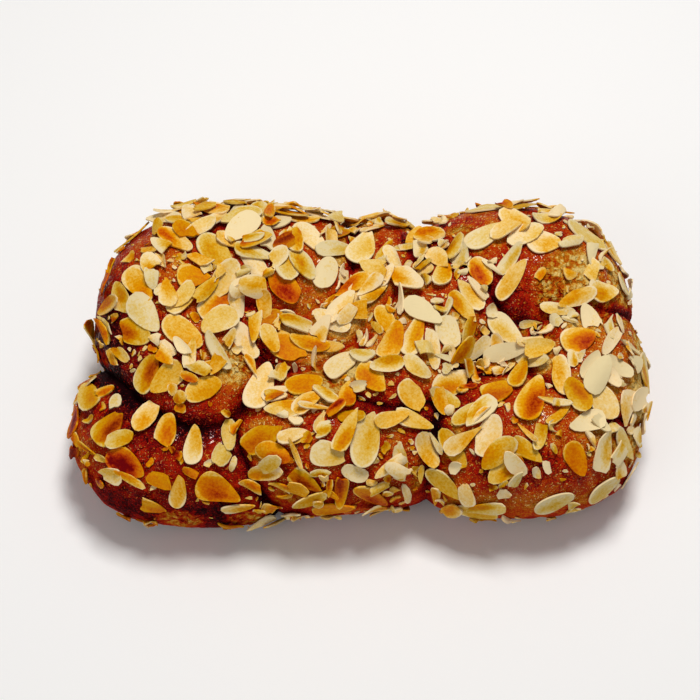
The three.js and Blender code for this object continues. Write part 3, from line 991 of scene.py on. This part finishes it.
def raise_terrain(form, f, centre, axes, top):
    """Adds a flake to the map: rays that cross it now end at its upper face."""
    near = np.linalg.norm(skin_at(terrain) - centre, axis=-1) < 0.6 * form["length"][f] + 6 * MM
    foot, direction = map_foot[near], map_direction[near]
    normal = axes[2]
    to_plane = (centre + top * normal - foot) @ normal / (direction @ normal)
    meets = foot + direction * to_plane[:, None]
    covered = under_flake(meets, form, f, centre, axes) & (to_plane > 0)
    terrain[near] = np.where(covered, np.maximum(terrain[near], to_plane), terrain[near])
    layers[near] += covered


kept_clear = np.zeros(terrain.shape, bool)
layers = np.zeros(terrain.shape)
for f, lying in enumerate(zip(plate_form["centre"], plate_form["axes"])):
    raise_terrain(plate_form, f, *lying, PLATE_THICKNESS / 2 + PLATE_CURL / 2)
    kept_clear |= under_flake(skin_at(terrain), plate_form, f, *lying, grow=KEPT_IN_SIGHT)
print("share of the skin under large flakes:", round(float((layers > 0).mean()), 3))


# %% [markdown]
# Each try takes the least covered of five random places. The flake is pressed against the plane
# that best fits the skin under it. It stays only if its rim is close to what it lies on, so that it
# may bridge a crease but never hovers, if it leaves the large flakes in sight, and if it keeps
# inside the CAD model's box. Otherwise it is thrown again elsewhere, up to fourteen times in all.

# %% Settle many flakes
PLACES_PER_TRY, MOST_TRIES = 5, 14
FEWEST_UNDER = 6  # map places under a flake, or there is no plane to press it on
MOST_HIDDEN = 0.12  # share of a flake's points that may lie over the large flakes' middles
LEAST_OUTWARD = 0.3  # cosine of the most that a flake may tilt from the ray through it
FACE_MARGIN, RIM_MARGIN = 1.2 * MM, 0.3 * MM  # for a flake's thickness, and for its rim
DOME = 0.7 * MM  # how much higher a whole flake may stand on average than its rim may
box_low, box_high = np.array(cad_box) - SHIFT


def lie_down(points, length, cell, lean_degrees):
    """How a flake lies at a cell of the map: centre, axes, points, gaps, what it hides and its tilt."""
    ray = map_direction.reshape(-1, 3)[cell]
    skin_now = skin_at(terrain).reshape(-1, 3)
    under = skin_now[np.linalg.norm(skin_now - skin_now[cell], axis=-1) < 0.42 * length + 1.5 * MM]
    if len(under) < FEWEST_UNDER:
        return None
    middle = under.mean(0)
    normal = np.linalg.svd(under - middle, full_matrices=False)[2][2]
    normal = normal * np.sign(normal @ ray)
    normal = normal + rng.normal(0, np.tan(np.radians(lean_degrees)), 3)
    normal /= np.linalg.norm(normal)
    ahead = np.cross(normal, rng.normal(size=3))
    ahead /= np.linalg.norm(ahead)
    its_axes = np.stack([ahead, np.cross(normal, ahead), normal])
    world = points @ its_axes + middle
    gap, hides, rays_there = height_under(world)
    gap = gap * (rays_there @ normal)
    lift = CLEARANCE - gap.min()
    return middle + normal * lift, its_axes, world + normal * lift, gap + lift, hides, normal @ ray


def may_stay(its_axes, world, gap, hides, outward, most_gap):
    """Whether a flake fits inside the box, hides little of the large flakes and lies close enough."""
    margin = FACE_MARGIN * np.abs(its_axes[2]) + RIM_MARGIN
    inside = (world.min(0) > box_low + margin).all() and (world.max(0) < box_high - margin).all()
    too_high = max(gap[RIM_POINTS:].mean(), gap.mean() - DOME) > most_gap
    return inside and hides.mean() < MOST_HIDDEN and not too_high and outward > LEAST_OUTWARD


def toast_at(centres):
    """How far almonds toast: more in front, low down at the left and at the rear's two corners."""
    x, y, z = (centres / HALF).T
    toast = 0.18 - 0.1 * x - 0.28 * ease(x, 0.35, 0.85) + 0.2 * ease(-y, 0.1, 0.8)
    low_down = 0.1 + 0.2 * ease(-x, 0.2, 0.8)
    toast = toast + low_down * ease(-z, -0.75, -0.25) + 0.12 * ease(-x, 0.7, 0.95)
    toast = toast + 0.28 * ease(y, 0.55, 0.85) * ease(np.abs(x + 0.2), 0.4, 0.65)
    return np.clip(toast + rng.normal(0, 0.26, len(centres)), -0.2, 1.1)


def settle(kind, lean_degrees, most_gap, most_layers=9):
    """Lays flakes of one kind until each has a place, and returns those that found one."""
    points = feelers_of(kind).reshape(len(kind["length"]), -1, 3)
    placed = []
    for f in range(len(points)):
        for _ in range(MOST_TRIES):
            places = np.searchsorted(drops, rng.random(PLACES_PER_TRY))
            cell = places[np.argmin(layers.ravel()[places] + 0.7 * rng.random(PLACES_PER_TRY))]
            if layers.ravel()[cell] > most_layers:
                continue
            lying = lie_down(points[f], kind["length"][f], cell, lean_degrees)
            if lying is not None and may_stay(*lying[1:], most_gap):
                centre, its_axes = lying[:2]
                raise_terrain(kind, f, centre, its_axes, kind["thickness"][f] / 2)
                placed.append((f, centre, its_axes))
                break
    chosen, centres, all_axes = zip(*placed)
    settled = {key: values[list(chosen)] for key, values in kind.items()}
    settled.update(centre=np.array(centres), axes=np.array(all_axes))
    settled["toast"] = toast_at(settled["centre"])
    return settled


count = 152
lengths = rng.uniform(14.5, 23, count) * MM
whole = flake_form(count, length=lengths, width=lengths * rng.uniform(0.34, 0.58, count))
whole = settle(whole, 8, 2.3 * MM)
count = 195
lengths = rng.uniform(13, 22, count) * MM
broken = flake_form(
    count,
    length=lengths,
    width=lengths * rng.uniform(0.3, 0.55, count),
    break_turn=rng.normal(0, 0.5, (count, 2)) + np.pi * rng.integers(0, 2, (count, 2)),
    break_depth=rng.uniform(0.1, 1.1, (count, 2)),
    jag=rng.uniform(0.02, 0.2, count),
)
broken = settle(broken, 10, 2.1 * MM)
print("whole flakes laid:", len(whole["toast"]), "broken flakes laid:", len(broken["toast"]))

# %% Slivers, bits and crumbs
count = 90
slivers = flake_form(
    count,
    length=rng.uniform(9, 19, count) * MM,
    width=rng.uniform(2.2, 5, count) * MM,
    break_depth=rng.uniform(0.4, 1.5, (count, 2)),
)
slivers = settle(slivers, 10, 1.5 * MM, 0)
count = 260
bits = flake_form(
    count,
    length=rng.uniform(4, 10, count) * MM,
    width=rng.uniform(3, 7, count) * MM,
    break_depth=rng.uniform(0.2, 1.0, (count, 2)),
    jag=rng.uniform(0.02, 0.15, count),
)
bits = settle(bits, 11, 1.3 * MM, 0)
count = 300
crumbs = flake_form(
    count,
    length=rng.uniform(1.8, 5, count) * MM,
    width=rng.uniform(1.2, 3.2, count) * MM,
    thickness=rng.uniform(0.3, 0.55, count) * MM,
    break_depth=rng.uniform(0.2, 0.9, (count, 2)),
    jag=rng.uniform(0.05, 0.3, count),
    **dict.fromkeys(("bend", "cup", "twist", "wave"), np.zeros(count)),
)
crumbs = settle(crumbs, 12, 0.7 * MM, 0)
print("slivers, bits and crumbs laid:", *(len(kind["toast"]) for kind in (slivers, bits, crumbs)))

# %% Make the small flakes
SCATTER_SHARES, SCATTER_HEIGHTS = np.array([0.6, 1.0, 1.0, 0.6]), np.array([-1, -1, 1, 1])
for name, kind, spokes in [
    ("whole_flakes", whole, 16),
    ("broken_flakes", broken, 16),
    ("slivers", slivers, 12),
    ("bits", bits, 10),
    ("crumbs", crumbs, 7),
]:
    piece = flakes_mesh(name, kind, SCATTER_SHARES, SCATTER_HEIGHTS, spokes, almonds["almond_pale"])
    print(name, "triangles:", triangles(piece))

# %% [markdown]
# ## The CAD model's box
#
# The small flakes were laid inside the CAD model's box, and its corners are printed last.
# The dressed loaf has to keep inside the CAD model's box.

# %% Finish
print("CAD box, mm:", [np.round(np.array(corner) / MM, 1).tolist() for corner in cad_box])
